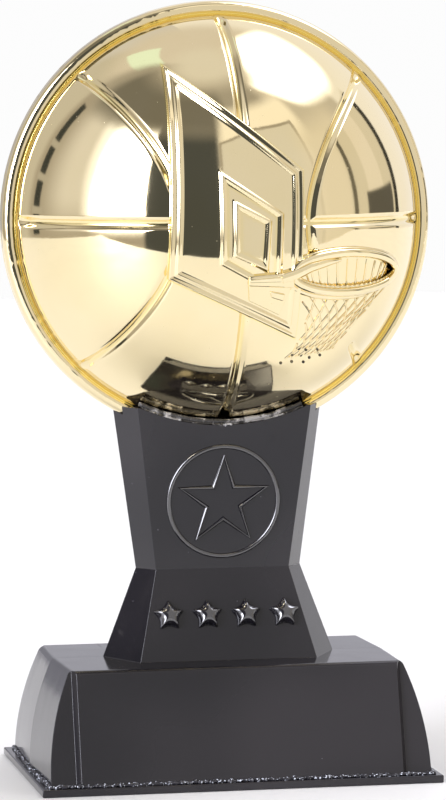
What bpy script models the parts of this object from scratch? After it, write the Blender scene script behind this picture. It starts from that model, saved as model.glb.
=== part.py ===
"""A presentation trophy: a gold basketball on a black riser and base.

The ball is two half shells with a raised backboard, hoop and net, the riser and the base are
moulded together in two half shells, and a plate closes the bottom over a block of ballast.
X is the width, -Y the front and +Z up. The origin is the middle of the plate's underside.
"""
import math

import bmesh
import bpy
from mathutils import Vector

MM = 0.001
COLLECTION = "basketball_trophy"

# Fit
GAP = 0.3 * MM                  # between neighbours that touch
SPLIT = 0.5 * GAP               # each half shell stands this far off the middle plane

# Ball: a shallow dome with a beaded flange
TOTAL_HEIGHT = 160.0 * MM
RIM_RADIUS = 45.0 * MM
BALL_Z = TOTAL_HEIGHT - RIM_RADIUS
DOME_RADIUS = 44.4 * MM
DOME_APEX = 33.5 * MM           # in front of the middle plane
DOME_CENTRE = DOME_APEX - DOME_RADIUS
DOME_FOOT_RADIUS = 42.2 * MM
BALL_WALL = 2.0 * MM
FLANGE_HALF = 3.0 * MM
BALL_STEPS = 60

# Seams of the ball
SEAM_CUTTER = 1.25 * MM
SEAM_LIFT = 0.45 * MM
SIDE_SEAM_NEAR = 13.2 * MM      # from the middle, on the horizontal seam
SIDE_SEAM_FAR = 29.5 * MM       # from the middle, at the rim
SIDE_SEAM_TOP = 30.3 * MM
SIDE_SEAM_POWER = 1.85

# Raised picture on the dome, as corners seen from the front (top left, then clockwise)
BOARD = [(-14.1, 31.4), (11.6, 10.4), (11.0, -23.2), (-15.4, -10.9)]
TARGET_OUTER = [(-4.9, 9.4), (6.7, 1.7), (6.3, -13.8), (-4.9, -7.7)]
TARGET_INNER = [(-2.3, 3.8), (4.2, 0.4), (3.7, -8.8), (-2.3, -6.1)]
BRACKET = [(0.5, -10.2), (11.6, -9.2), (12.2, -13.6), (0.5, -14.6)]
NET = [(11.0, -12.9), (36.4, -11.6), (23.4, -27.8), (9.3, -28.9)]
BOARD_LIFT = 0.6 * MM
FRAME_INSET = 1.1 * MM
FRAME_RADIUS = 0.9 * MM
TARGET_RADIUS = 0.55 * MM
BRACKET_LIFT = 1.5 * MM
NET_LIFT = 0.4 * MM
RELIEF_DEPTH = 1.4 * MM
HOOP_CENTRE = (22.8 * MM, -9.8 * MM)
HOOP_RADII = (13.2 * MM, 3.9 * MM)
HOOP_TUBE = 0.95 * MM
HOOP_LIFT = 0.65 * MM

# Bottom plate
PLATE_WIDTH = 83.0 * MM
PLATE_DEPTH = 56.0 * MM
PLATE_THICKNESS = 1.6 * MM
PLATE_EDGE = 0.3 * MM

# Base
SHELL_WALL = 2.0 * MM
BASE_FOOT_Z = PLATE_THICKNESS + GAP
BASE_TOP_Z = 24.4 * MM
BASE_TOP_HALF_WIDTH = 35.2 * MM
BASE_FOOT_HALF_WIDTH = 40.0 * MM
BASE_TOP_FRONT = 20.6 * MM
BASE_FOOT_FRONT = 26.8 * MM
BASE_DRAFT = 0.6 * MM           # the ends lean in this much from the middle plane to the front
BASE_EDGE = 0.9 * MM
PANEL_HALF_WIDTH = 33.6 * MM    # the plaque area, which stands proud of its two sides
PANEL_STEP = 1.3 * MM

# Riser: half of a six-sided column, pinched at the waist
# (height, half width at the middle plane, half width of the front panel, front)
RISER_FOOT = (24.4 * MM, 24.4 * MM, 18.5 * MM, 11.6 * MM)
RISER_WAIST = (42.75 * MM, 17.4 * MM, 14.0 * MM, 5.0 * MM)
RISER_TOP = (76.6 * MM, 22.0 * MM, 18.15 * MM, 8.2 * MM)
CRADLE_RADIUS = 42.75 * MM
CRADLE_FLOOR = 2.0 * MM
SLOT_HALF = 3.4 * MM
SLOT_RADIUS = RIM_RADIUS + 0.35 * MM

# Stars on the riser
RING_Z = 56.8 * MM
RING_RADIUS = 11.5 * MM
BEAD_RADIUS = 0.45 * MM
STAR_RADIUS = 9.3 * MM
STAR_WAIST = 0.39               # inner corners against the tips
SMALL_STAR_Z = 33.5 * MM
SMALL_STAR_PITCH = 8.1 * MM
SMALL_STAR_RADIUS = 2.8 * MM
SMALL_STAR_WAIST = 0.52
SMALL_STAR_HEIGHT = 1.1 * MM

# Ballast and adhesive
BALLAST_SIZE = (62.0 * MM, 34.0 * MM, 14.0 * MM)
BALLAST_EDGE = 1.5 * MM
CRADLE_BEAD_RADIUS = 0.4 * MM
CRADLE_BEAD_ARC = math.radians(23.0)
BASE_BEAD_RADIUS = 0.35 * MM

GOLD = ("gold_metallised", (0.90, 0.70, 0.30, 1.0), 1.0, 0.06)
BLACK = ("black_gloss", (0.022, 0.022, 0.026, 1.0), 0.0, 0.16)
MINERAL = ("cast_mineral", (0.36, 0.34, 0.31, 1.0), 0.0, 0.85)
CLEAR_GLUE = ("clear_adhesive", (0.80, 0.76, 0.62, 1.0), 0.0, 0.15)
BLACK_GLUE = ("black_adhesive", (0.030, 0.030, 0.034, 1.0), 0.0, 0.30)


# ---------------------------------------------------------------- scene and materials

def clear_scene():
    for old in list(bpy.data.objects):
        bpy.data.objects.remove(old, do_unlink=True)


def new_collection(name):
    collection = bpy.data.collections.new(name)
    bpy.context.scene.collection.children.link(collection)
    return collection


def principled(name, colour, metallic, roughness):
    material = bpy.data.materials.new(name)
    material.use_nodes = True
    shader = material.node_tree.nodes["Principled BSDF"]
    shader.inputs["Base Color"].default_value = colour
    shader.inputs["Metallic"].default_value = metallic
    shader.inputs["Roughness"].default_value = roughness
    material.diffuse_color = colour
    return material


def add_object(name, mesh, collection, parent=None):
    obj = bpy.data.objects.new(name, mesh)
    collection.objects.link(obj)
    obj.parent = parent
    return obj


def mesh_from(bm, name):
    bmesh.ops.recalc_face_normals(bm, faces=bm.faces)
    mesh = bpy.data.meshes.new(name)
    bm.to_mesh(mesh)
    bm.free()
    return mesh


def as_cutter(obj):
    obj.hide_render = True
    obj.display_type = "WIRE"
    return obj


def boolean(target, operand, operation):
    modifier = target.modifiers.new(operation.lower(), "BOOLEAN")
    modifier.operation = operation
    modifier.solver = "EXACT"
    modifier.object = operand
    return modifier


def freeze(obj):
    """The mesh of an object with its modifiers applied, in the object's own space."""
    bpy.context.view_layer.update()
    evaluated = obj.evaluated_get(bpy.context.evaluated_depsgraph_get())
    return bpy.data.meshes.new_from_object(evaluated)


# ---------------------------------------------------------------- shape helpers

def loft(sections, name):
    """A closed solid through rings of equally many points."""
    bm = bmesh.new()
    rings = [[bm.verts.new(point) for point in ring] for ring in sections]
    count = len(rings[0])
    for lower, upper in zip(rings, rings[1:]):
        for i in range(count):
            j = (i + 1) % count
            bm.faces.new((lower[i], lower[j], upper[j], upper[i]))
    bm.faces.new(list(reversed(rings[0])))
    bm.faces.new(rings[-1])
    return mesh_from(bm, name)


def box(name, size, centre, collection, edge=0.0):
    bm = bmesh.new()
    bmesh.ops.create_cube(bm, size=1.0)
    bmesh.ops.scale(bm, vec=Vector(size), verts=bm.verts)
    if edge:
        bmesh.ops.bevel(bm, geom=bm.edges[:], offset=edge, segments=1, affect="EDGES")
    obj = add_object(name, mesh_from(bm, name), collection)
    obj.location = centre
    return obj


def cylinder_along_y(name, radius, depth, centre, segments, collection):
    bm = bmesh.new()
    bmesh.ops.create_cone(bm, cap_ends=True, segments=segments, radius1=radius, radius2=radius,
                          depth=depth)
    obj = add_object(name, mesh_from(bm, name), collection)
    obj.location = centre
    obj.rotation_euler = (math.radians(90.0), 0.0, 0.0)
    return as_cutter(obj)


def tube(name, points, radius, cyclic, collection, parent=None):
    """A round bar along the points, as a mesh."""
    data = bpy.data.curves.new(name, "CURVE")
    data.dimensions = "3D"
    data.bevel_depth = radius
    data.bevel_resolution = 2
    data.use_fill_caps = True
    spline = data.splines.new("POLY")
    spline.points.add(len(points) - 1)
    for target, point in zip(spline.points, points):
        target.co = (*point, 1.0)
    spline.use_cyclic_u = cyclic
    curve = add_object(name, data, collection, parent)
    mesh = freeze(curve)
    place = curve.matrix_world.copy()
    bpy.data.objects.remove(curve, do_unlink=True)
    bm = bmesh.new()
    bm.from_mesh(mesh)
    bmesh.ops.remove_doubles(bm, verts=bm.verts, dist=0.001 * MM)
    bpy.data.meshes.remove(mesh)
    obj = add_object(name, mesh_from(bm, name), collection)
    obj.matrix_world = place
    return obj


def star_outline(radius, waist):
    """Ten corners of an upright star, from its top tip, anticlockwise."""
    corners = []
    for i in range(10):
        angle = math.radians(90.0 + 36.0 * i)
        reach = radius if i % 2 == 0 else radius * waist
        corners.append((reach * math.cos(angle), reach * math.sin(angle)))
    return corners


# ---------------------------------------------------------------- ball

def on_dome(x, y, lift):
    """A point over the dome, seen from the front at (x, y), lifted off its surface."""
    reach = DOME_RADIUS + lift
    return Vector((x, y, DOME_CENTRE + math.sqrt(reach * reach - x * x - y * y)))


def arc(radius, centre_z, start, end, steps):
    """Points (r, z) on a circle about the ball's axis, with angles taken from the axis."""
    angles = [start + (end - start) * i / steps for i in range(steps + 1)]
    return [(radius * math.sin(a), centre_z + radius * math.cos(a)) for a in angles]


def ball_profile():
    """Outside from the pole to the rim, over the bead, and back up the inside."""
    foot = math.asin(DOME_FOOT_RADIUS / DOME_RADIUS)
    outside = arc(DOME_RADIUS, DOME_CENTRE, 0.0, foot, 12)
    groove = (DOME_FOOT_RADIUS + 0.5 * MM, FLANGE_HALF - 0.9 * MM)
    crest = (RIM_RADIUS - 1.3 * MM, FLANGE_HALF)
    shoulder = (RIM_RADIUS - 0.4 * MM, FLANGE_HALF - 0.6 * MM)
    side = (RIM_RADIUS, FLANGE_HALF - 1.6 * MM)
    inner_radius = DOME_RADIUS - BALL_WALL
    inner_foot = math.acos((SPLIT - DOME_CENTRE) / inner_radius)
    inside = arc(inner_radius, DOME_CENTRE, inner_foot, 0.0, 6)
    return outside + [groove, crest, shoulder, side, (RIM_RADIUS, SPLIT)] + inside


def turned(name, profile, collection, parent):
    """The profile (r, z) turned about the parent's Z with a Screw modifier."""
    bm = bmesh.new()
    verts = [bm.verts.new((r, 0.0, z)) for r, z in profile]
    for a, b in zip(verts, verts[1:]):
        bm.edges.new((a, b))
    mesh = bpy.data.meshes.new(name)
    bm.to_mesh(mesh)
    bm.free()
    obj = add_object(name, mesh, collection, parent)
    screw = obj.modifiers.new("turn", "SCREW")
    screw.steps = BALL_STEPS
    screw.render_steps = BALL_STEPS
    screw.use_merge_vertices = True
    screw.merge_threshold = 0.01 * MM
    return obj


def seam_paths():
    reach = DOME_RADIUS + SEAM_LIFT
    end = math.asin((DOME_FOOT_RADIUS + 0.4 * MM) / reach)
    bow = arc(reach, DOME_CENTRE, -end, end, 18)
    paths = {"upright": [(0.0, r, z) for r, z in bow], "level": [(r, 0.0, z) for r, z in bow]}
    steps = 16
    for side, sign in (("left", -1.0), ("right", 1.0)):
        path = []
        for i in range(steps + 1):
            y = SIDE_SEAM_TOP * (2.0 * i / steps - 1.0)
            spread = abs(y / SIDE_SEAM_TOP) ** SIDE_SEAM_POWER
            x = SIDE_SEAM_NEAR + (SIDE_SEAM_FAR - SIDE_SEAM_NEAR) * spread
            path.append(on_dome(sign * x, y, SEAM_LIFT))
        paths[side] = path
    return paths


def between(corners, u, v):
    """A point inside four corners (top left, then clockwise), u across and v down."""
    top_left, top_right, low_right, low_left = [Vector(c) * MM for c in corners]
    top = top_left.lerp(top_right, u)
    low = low_left.lerp(low_right, u)
    return top.lerp(low, v)


def dome_patch(name, corners, lift, cells, collection, parent):
    """A raised plate that follows the dome, let into it from behind."""
    bm = bmesh.new()
    bmesh.ops.create_grid(bm, x_segments=cells, y_segments=cells, size=0.5)
    for vert in bm.verts:
        place = between(corners, vert.co.x + 0.5, 0.5 - vert.co.y)
        vert.co = on_dome(place.x, place.y, lift)
    mesh = bpy.data.meshes.new(name)
    bm.to_mesh(mesh)
    bm.free()
    obj = add_object(name, mesh, collection, parent)
    solid = obj.modifiers.new("depth", "SOLIDIFY")
    solid.thickness = lift + RELIEF_DEPTH
    solid.offset = -1.0
    return obj


def inset_corners(corners, inset):
    """Four corners moved towards their middle, by about the inset at each side."""
    middle = sum((Vector(c) for c in corners), Vector((0.0, 0.0))) / 4.0
    moved = []
    for corner in corners:
        inward = middle - Vector(corner)
        moved.append(Vector(corner) + inward.normalized() * (1.5 * inset / MM))
    return moved


def dome_loop(name, corners, radius, lift, steps, collection, parent):
    """A raised bar round four corners, on the dome."""
    points = []
    for start, end in zip(corners, list(corners[1:]) + [corners[0]]):
        for i in range(steps):
            place = Vector(start).lerp(Vector(end), i / steps) * MM
            points.append(on_dome(place.x, place.y, lift))
    return tube(name, points, radius, True, collection, parent)


def hoop_path(steps=26):
    points = []
    for i in range(steps):
        angle = 2.0 * math.pi * i / steps
        x = HOOP_CENTRE[0] + HOOP_RADII[0] * math.cos(angle)
        y = HOOP_CENTRE[1] + HOOP_RADII[1] * math.sin(angle)
        points.append(on_dome(x, y, HOOP_LIFT))
    return points


def ball_relief(tools, axis):
    frame = inset_corners(BOARD, FRAME_INSET)
    return [
        dome_patch("net_relief", NET, NET_LIFT, 5, tools, axis),
        dome_patch("board_relief", BOARD, BOARD_LIFT, 6, tools, axis),
        dome_loop("frame_relief", frame, FRAME_RADIUS, BOARD_LIFT, 6, tools, axis),
        dome_loop("target_outer_relief", TARGET_OUTER, TARGET_RADIUS, BOARD_LIFT, 3, tools, axis),
        dome_loop("target_inner_relief", TARGET_INNER, TARGET_RADIUS, BOARD_LIFT, 3, tools, axis),
        dome_patch("bracket_relief", BRACKET, BRACKET_LIFT, 3, tools, axis),
        tube("hoop_relief", hoop_path(), HOOP_TUBE, True, tools, axis),
    ]


def ball_shells(parts, tools, material):
    axis = bpy.data.objects.new("ball_axis", None)
    parts.objects.link(axis)
    axis.location = (0.0, 0.0, BALL_Z)
    axis.rotation_euler = (math.radians(90.0), 0.0, 0.0)

    front = turned("ball_front_shell", ball_profile(), parts, axis)
    bpy.context.view_layer.update()
    for name, path in seam_paths().items():
        cutter = as_cutter(tube(f"seam_{name}", path, SEAM_CUTTER, False, tools, axis))
        boolean(front, cutter, "DIFFERENCE")
    for piece in ball_relief(tools, axis):
        boolean(front, as_cutter(piece), "UNION")
    front.data.materials.append(material)

    turned_axis = bpy.data.objects.new("ball_axis_rear", None)
    parts.objects.link(turned_axis)
    turned_axis.location = axis.location
    turned_axis.rotation_euler = (math.radians(90.0), 0.0, math.radians(180.0))
    rear = add_object("ball_rear_shell", freeze(front), parts, turned_axis)
    return front, rear


# ---------------------------------------------------------------- riser and base

def slope(start, end, z):
    """A value that changes straight with height, between two (z, value) pairs."""
    share = (z - start[0]) / (end[0] - start[0])
    return start[1] + (end[1] - start[1]) * share


def base_front(z):
    return slope((BASE_FOOT_Z, BASE_FOOT_FRONT), (BASE_TOP_Z, BASE_TOP_FRONT), z)


def base_half_width(z):
    """The ends bow outwards: an arc, upright at the foot."""
    rise = BASE_TOP_Z - BASE_FOOT_Z
    drop = BASE_FOOT_HALF_WIDTH - BASE_TOP_HALF_WIDTH
    radius = (rise * rise + drop * drop) / (2.0 * drop)
    height = z - BASE_FOOT_Z
    return BASE_FOOT_HALF_WIDTH - radius + math.sqrt(radius * radius - height * height)


def base_outline(inset, low, high, steps=7):
    """Right half of the front view, from the foot to the top, as (x, z)."""
    outline = []
    for i in range(steps + 1):
        z = low + (high - BASE_EDGE - low) * i / steps
        outline.append((base_half_width(max(z, BASE_FOOT_Z)) - inset, z))
    corner = outline[-1][0]
    outline.append((corner - 0.35 * BASE_EDGE, high - 0.3 * BASE_EDGE))
    outline.append((corner - BASE_EDGE, high))
    return outline


def base_ring(outline, narrow, y_of):
    """The whole outline, mirrored, at the depth that y_of gives for each height."""
    right = [(x - narrow, y_of(z), z) for x, z in outline]
    left = [(narrow - x, y_of(z), z) for x, z in reversed(outline)]
    return right + left


def base_solid(name, tools):
    outline = base_outline(0.0, BASE_FOOT_Z, BASE_TOP_Z)
    edge = BASE_EDGE
    soft = [(x, min(z, BASE_TOP_Z - edge)) for x, z in outline]
    rings = [
        base_ring(outline, 0.0, lambda z: -SPLIT),
        base_ring(outline, BASE_DRAFT, lambda z: edge - base_front(z)),
        base_ring(soft, BASE_DRAFT + 0.3 * edge, lambda z: -base_front(z)),
    ]
    return add_object(name, loft(rings, name), tools)


def base_cavity(name, tools):
    outline = base_outline(SHELL_WALL, 0.0, BASE_TOP_Z - SHELL_WALL)
    back = SHELL_WALL + PANEL_STEP
    rings = [
        base_ring(outline, 0.0, lambda z: MM),
        base_ring(outline, BASE_DRAFT, lambda z: back - base_front(z)),
    ]
    return as_cutter(add_object(name, loft(rings, name), tools))


def side_cutter(name, sign, tools):
    """Takes the step off one side of the plaque area, with a sloping wall to it."""
    rings = []
    for z in (BASE_FOOT_Z - MM, BASE_TOP_Z + MM):
        front = -base_front(z)
        inner = PANEL_HALF_WIDTH
        far = BASE_FOOT_HALF_WIDTH + 5.0 * MM
        rings.append([
            (sign * (inner + PANEL_STEP), front + PANEL_STEP, z),
            (sign * far, front + PANEL_STEP, z),
            (sign * far, front - MM, z),
            (sign * (inner - MM), front - MM, z),
        ])
    return as_cutter(add_object(name, loft(rings, name), tools))


def riser_section(level, z, inset=0.0, back=-SPLIT):
    """Half of the six-sided section at one height."""
    _, ridge, panel, front = level
    ridge -= inset
    panel -= 0.6 * inset
    front -= inset
    return [(ridge, back, z), (panel, -front, z), (-panel, -front, z), (-ridge, back, z)]


def riser_level(z):
    """The riser's sizes at a height above the waist."""
    sizes = [slope((RISER_WAIST[0], RISER_WAIST[i]), (RISER_TOP[0], RISER_TOP[i]), z)
             for i in range(1, 4)]
    return (z, *sizes)


def riser_solid(name, tools):
    over = RISER_TOP[0] + 4.0 * MM
    rings = [
        riser_section(RISER_FOOT, BASE_TOP_Z - MM),
        riser_section(RISER_FOOT, RISER_FOOT[0]),
        riser_section(RISER_WAIST, RISER_WAIST[0]),
        riser_section(riser_level(over), over),
    ]
    return add_object(name, loft(rings, name), tools)


def riser_cavity(name, tools):
    over = RISER_TOP[0]
    low = BASE_TOP_Z - 1.5 * SHELL_WALL
    rings = [
        riser_section(RISER_FOOT, low, SHELL_WALL, MM),
        riser_section(RISER_FOOT, RISER_FOOT[0], SHELL_WALL, MM),
        riser_section(RISER_WAIST, RISER_WAIST[0], SHELL_WALL, MM),
        riser_section(riser_level(over), over, SHELL_WALL, MM),
    ]
    cavity = as_cutter(add_object(name, loft(rings, name), tools))
    ceiling = cylinder_along_y("cavity_ceiling", SLOT_RADIUS + CRADLE_FLOOR, 60.0 * MM,
                               (0.0, 0.0, BALL_Z), 96, tools)
    boolean(cavity, ceiling, "DIFFERENCE")
    return cavity


def panel_point(x, z, proud):
    """A point in front of the riser's upper or lower panel, at a width and height."""
    lower_panel = z < RISER_WAIST[0]
    end = RISER_FOOT if lower_panel else RISER_TOP
    front = slope((RISER_WAIST[0], RISER_WAIST[3]), (end[0], end[3]), z)
    lean = math.atan2(end[3] - RISER_WAIST[3], abs(end[0] - RISER_WAIST[0]))
    down = 1.0 if lower_panel else -1.0
    return Vector((x, -front - proud * math.cos(lean), z + down * proud * math.sin(lean)))


def riser_relief(tools):
    ring = [(RING_RADIUS * math.cos(math.radians(a)), RING_RADIUS * math.sin(math.radians(a)))
            for a in range(0, 360, 10)]
    pieces = []
    for name, outline in (("ring_relief", ring), ("star_relief", star_outline(STAR_RADIUS,
                                                                              STAR_WAIST))):
        points = [panel_point(x, RING_Z + z, 0.0) for x, z in outline]
        pieces.append(tube(name, points, BEAD_RADIUS, True, tools))
    for i in range(4):
        pieces.append(small_star(f"small_star_{i + 1}", (i - 1.5) * SMALL_STAR_PITCH, tools))
    return pieces


def small_star(name, x, tools):
    """A puffy star: five ridges that rise to a point, on a foot let into the panel."""
    bm = bmesh.new()
    outline = star_outline(SMALL_STAR_RADIUS, SMALL_STAR_WAIST)
    rings = []
    for proud in (-0.6 * MM, 0.45 * MM):
        rings.append([bm.verts.new(panel_point(x + dx, SMALL_STAR_Z + dz, proud))
                      for dx, dz in outline])
    tip = bm.verts.new(panel_point(x, SMALL_STAR_Z, SMALL_STAR_HEIGHT))
    low, high = rings
    for i in range(10):
        j = (i + 1) % 10
        bm.faces.new((low[i], low[j], high[j], high[i]))
        bm.faces.new((high[i], high[j], tip))
    bm.faces.new(list(reversed(low)))
    return add_object(name, mesh_from(bm, name), tools)


def body_shells(parts, tools, material):
    front = base_solid("body_front_shell", parts)
    for name, sign in (("left_step", -1.0), ("right_step", 1.0)):
        boolean(front, side_cutter(name, sign, tools), "DIFFERENCE")
    boolean(front, as_cutter(riser_solid("riser_half", tools)), "UNION")
    centre = (0.0, 0.0, BALL_Z)
    cradle = cylinder_along_y("cradle", CRADLE_RADIUS, 60.0 * MM, centre, 96, tools)
    slot = cylinder_along_y("flange_slot", SLOT_RADIUS, 2.0 * SLOT_HALF, centre, 96, tools)
    boolean(front, cradle, "DIFFERENCE")
    boolean(front, slot, "DIFFERENCE")
    boolean(front, base_cavity("base_cavity", tools), "DIFFERENCE")
    boolean(front, riser_cavity("riser_cavity", tools), "DIFFERENCE")
    for piece in riser_relief(tools):
        boolean(front, as_cutter(piece), "UNION")
    front.data.materials.append(material)
    rear = add_object("body_rear_shell", freeze(front), parts)
    rear.rotation_euler = (0.0, 0.0, math.radians(180.0))
    return front, rear


# ---------------------------------------------------------------- plate, ballast, adhesive

def bottom_plate(parts, material):
    size = (PLATE_WIDTH, PLATE_DEPTH, PLATE_THICKNESS)
    plate = box("bottom_plate", size, (0.0, 0.0, 0.5 * PLATE_THICKNESS), parts, PLATE_EDGE)
    plate.data.materials.append(material)


def ballast_block(parts, material):
    centre = (0.0, 0.0, BASE_FOOT_Z + 0.5 * BALLAST_SIZE[2])
    block = box("ballast_block", BALLAST_SIZE, centre, parts, BALLAST_EDGE)
    block.data.materials.append(material)


def cradle_glue(parts, material):
    """A bead of adhesive each side of the flange, in the trough of the cradle."""
    bead_y = SLOT_HALF + 2.1 * MM
    dome = math.sqrt(DOME_RADIUS ** 2 - (bead_y - DOME_CENTRE) ** 2)
    radius = 0.5 * (dome + CRADLE_RADIUS)
    for name, sign in (("cradle_glue_front", -1.0), ("cradle_glue_rear", 1.0)):
        points = []
        for i in range(15):
            angle = CRADLE_BEAD_ARC * (2.0 * i / 14 - 1.0)
            points.append((radius * math.sin(angle), sign * bead_y,
                           BALL_Z - radius * math.cos(angle)))
        bead = tube(name, points, CRADLE_BEAD_RADIUS, False, parts)
        bead.data.materials.append(material)


def base_glue(parts, material):
    """A bead of adhesive round the foot of the base, on the plate."""
    clear = GAP + 0.1 * MM + BASE_BEAD_RADIUS
    half_x = BASE_FOOT_HALF_WIDTH + clear
    half_y = BASE_FOOT_FRONT + clear
    z = BASE_FOOT_Z + BASE_BEAD_RADIUS
    corner = 0.6 * MM
    points = []
    for sx, sy in ((1, -1), (1, 1), (-1, 1), (-1, -1)):
        near = (sx * (half_x - corner), sy * half_y, z)
        far = (sx * half_x, sy * (half_y - corner), z)
        points += [near, far] if sx * sy < 0 else [far, near]
    bead = tube("base_glue_bead", points, BASE_BEAD_RADIUS, True, parts)
    bead.data.materials.append(material)


def main():
    clear_scene()
    parts = new_collection(COLLECTION)
    tools = new_collection("cutters")
    black = principled(*BLACK)
    ball_shells(parts, tools, principled(*GOLD))
    body_shells(parts, tools, black)
    bottom_plate(parts, black)
    ballast_block(parts, principled(*MINERAL))
    cradle_glue(parts, principled(*CLEAR_GLUE))
    base_glue(parts, principled(*BLACK_GLUE))
    tools.hide_render = True


main()
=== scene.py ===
# %% [markdown]
# # A small moulded sports trophy
# The trophy is a gold ball, pressed with a backboard, hoop and net, held in the top of a black
# waisted riser that grows out of a heavy black base. The model from CAD gives every size and
# place. This lesson loads it as a fixed frame, models a finer skin over each of its parts, and
# gives each part the finish of the real one: vacuum-metallised gold and gloss black polystyrene.

# %% Load the frame
import math
import random

import bmesh
import bpy
import numpy as np
from mathutils import Matrix, Vector


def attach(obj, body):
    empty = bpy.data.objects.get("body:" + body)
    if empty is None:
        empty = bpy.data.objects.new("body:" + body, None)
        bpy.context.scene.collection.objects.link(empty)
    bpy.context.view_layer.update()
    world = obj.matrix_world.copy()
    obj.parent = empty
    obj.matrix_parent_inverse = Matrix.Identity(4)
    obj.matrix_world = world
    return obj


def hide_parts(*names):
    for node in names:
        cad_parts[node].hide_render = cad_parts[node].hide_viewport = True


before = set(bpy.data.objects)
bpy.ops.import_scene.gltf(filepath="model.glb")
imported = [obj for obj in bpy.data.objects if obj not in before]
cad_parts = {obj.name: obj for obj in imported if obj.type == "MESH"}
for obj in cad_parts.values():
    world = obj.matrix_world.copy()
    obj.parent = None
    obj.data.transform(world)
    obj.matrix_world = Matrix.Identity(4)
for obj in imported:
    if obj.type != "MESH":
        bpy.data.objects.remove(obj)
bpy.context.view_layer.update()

# %% [markdown]
# Sizes are written in millimetres and turned into Blender's metres once, by multiplying with MM.
# Before a tool is used, everything else is deselected, because an operator acts on all that is
# selected. Each tool that is used more than once gets a short function.

# %% Helpers for modelling by hand
MM = 0.001
MERGE_BELOW = 0.002                  # points nearer than this are one point


def only(obj):
    """Makes obj the one selected object, and the active one."""
    bpy.ops.object.select_all(action="DESELECT")
    obj.select_set(True)
    bpy.context.view_layer.objects.active = obj


def new_piece(name):
    """Names the object that was just added, and moves its place and turn into its mesh."""
    obj = bpy.context.object
    obj.name = obj.data.name = name
    only(obj)
    bpy.ops.object.transform_apply()
    return obj


def edit(obj, select=None):
    """Enters edit mode, and selects or deselects the whole mesh if asked."""
    only(obj)
    bpy.ops.object.mode_set(mode="EDIT")
    if select:
        bpy.ops.mesh.select_all(action=select)


def done():
    bpy.ops.object.mode_set(mode="OBJECT")


def modify(obj, kind, **settings):
    """Adds a modifier and applies it at once."""
    only(obj)
    modifier = obj.modifiers.new(kind.lower(), kind)
    for key, value in settings.items():
        setattr(modifier, key, value)
    bpy.ops.object.modifier_apply(modifier=modifier.name)


def soften(obj, angle):
    """Smooth shading, but for edges sharper than the angle in degrees."""
    only(obj)
    bpy.ops.object.shade_smooth_by_angle(angle=math.radians(angle))


def outward(obj):
    """Merges doubled points and turns every face outwards."""
    edit(obj, "SELECT")
    bpy.ops.mesh.remove_doubles(threshold=MERGE_BELOW * MM)
    bpy.ops.mesh.normals_make_consistent(inside=False)
    done()


def half_turn(obj, name):
    """A copy of obj with its own mesh, turned half a turn about the trophy's upright axis."""
    only(obj)
    bpy.ops.object.duplicate()
    bpy.ops.transform.rotate(value=math.pi, orient_axis="Z", center_override=(0.0, 0.0, 0.0))
    return new_piece(name)


def joined(pieces, name):
    bpy.ops.object.select_all(action="DESELECT")
    for piece in pieces:
        piece.select_set(True)
    bpy.context.view_layer.objects.active = pieces[0]
    bpy.ops.object.join()
    pieces[0].name = pieces[0].data.name = name
    return pieces[0]


def bar(name, points, radius, closed=False, smoothness=3, radii=None):
    """A round bar along points in mm: a curve is given a round bevel and converted."""
    data = bpy.data.curves.new(name, "CURVE")
    data.dimensions = "3D"
    data.bevel_depth = radius * MM
    data.bevel_resolution = smoothness
    data.use_fill_caps = True
    spline = data.splines.new("POLY")
    spline.points.add(len(points) - 1)
    for i, (target, point) in enumerate(zip(spline.points, points)):
        target.co = (point[0] * MM, point[1] * MM, point[2] * MM, 1.0)
        if radii:
            target.radius = radii[i]
    spline.use_cyclic_u = closed
    obj = bpy.data.objects.new(name, data)
    bpy.context.scene.collection.objects.link(obj)
    only(obj)
    bpy.ops.object.convert(target="MESH")
    obj = bpy.context.object
    outward(obj)
    soften(obj, 60.0)
    return obj

# %% [markdown]
# ## Camera and studio
# The camera stands a little to the left of the trophy and a little above its middle, with a long
# lens. The view is 446 by 800, taller than wide, so the lens is given against the sensor's height.

# %% Camera
AZIMUTH = math.radians(11.0816)      # of the line of sight, turned from straight ahead
PITCH = math.radians(4.3859)         # how far the camera looks down
ROLL = math.radians(-0.3237)
DISTANCE = 852.05                    # mm, to the point that it looks at
LOOK_RIGHT, LOOK_HEIGHT = 1.271, 77.316
LENS, SENSOR_HEIGHT = 184.39, 36.0

forward = Vector((math.sin(AZIMUTH) * math.cos(PITCH), math.cos(AZIMUTH) * math.cos(PITCH),
                  -math.sin(PITCH)))
right = Vector((math.cos(AZIMUTH), -math.sin(AZIMUTH), 0.0))
above = right.cross(forward)
eye_right = right * math.cos(ROLL) + above * math.sin(ROLL)
eye_up = above * math.cos(ROLL) - right * math.sin(ROLL)
eye = right * LOOK_RIGHT + Vector((0.0, 0.0, LOOK_HEIGHT)) - forward * DISTANCE

camera_data = bpy.data.cameras.new("camera")
camera_data.sensor_fit = "VERTICAL"
camera_data.sensor_height = SENSOR_HEIGHT
camera_data.lens = LENS
camera_data.clip_start = 0.01
camera = bpy.data.objects.new("camera", camera_data)
bpy.context.scene.collection.objects.link(camera)
turn = Matrix((eye_right, eye_up, -forward)).transposed().to_4x4()
camera.matrix_world = Matrix.Translation(eye * MM) @ turn
bpy.context.scene.camera = camera
bpy.context.scene.view_settings.view_transform = "Standard"

# %% [markdown]
# Materials and the studio are node trees. Two small classes keep them readable: a Value is an
# output socket that can stand in a sum, and Nodes adds a node with its settings and inputs.

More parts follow.
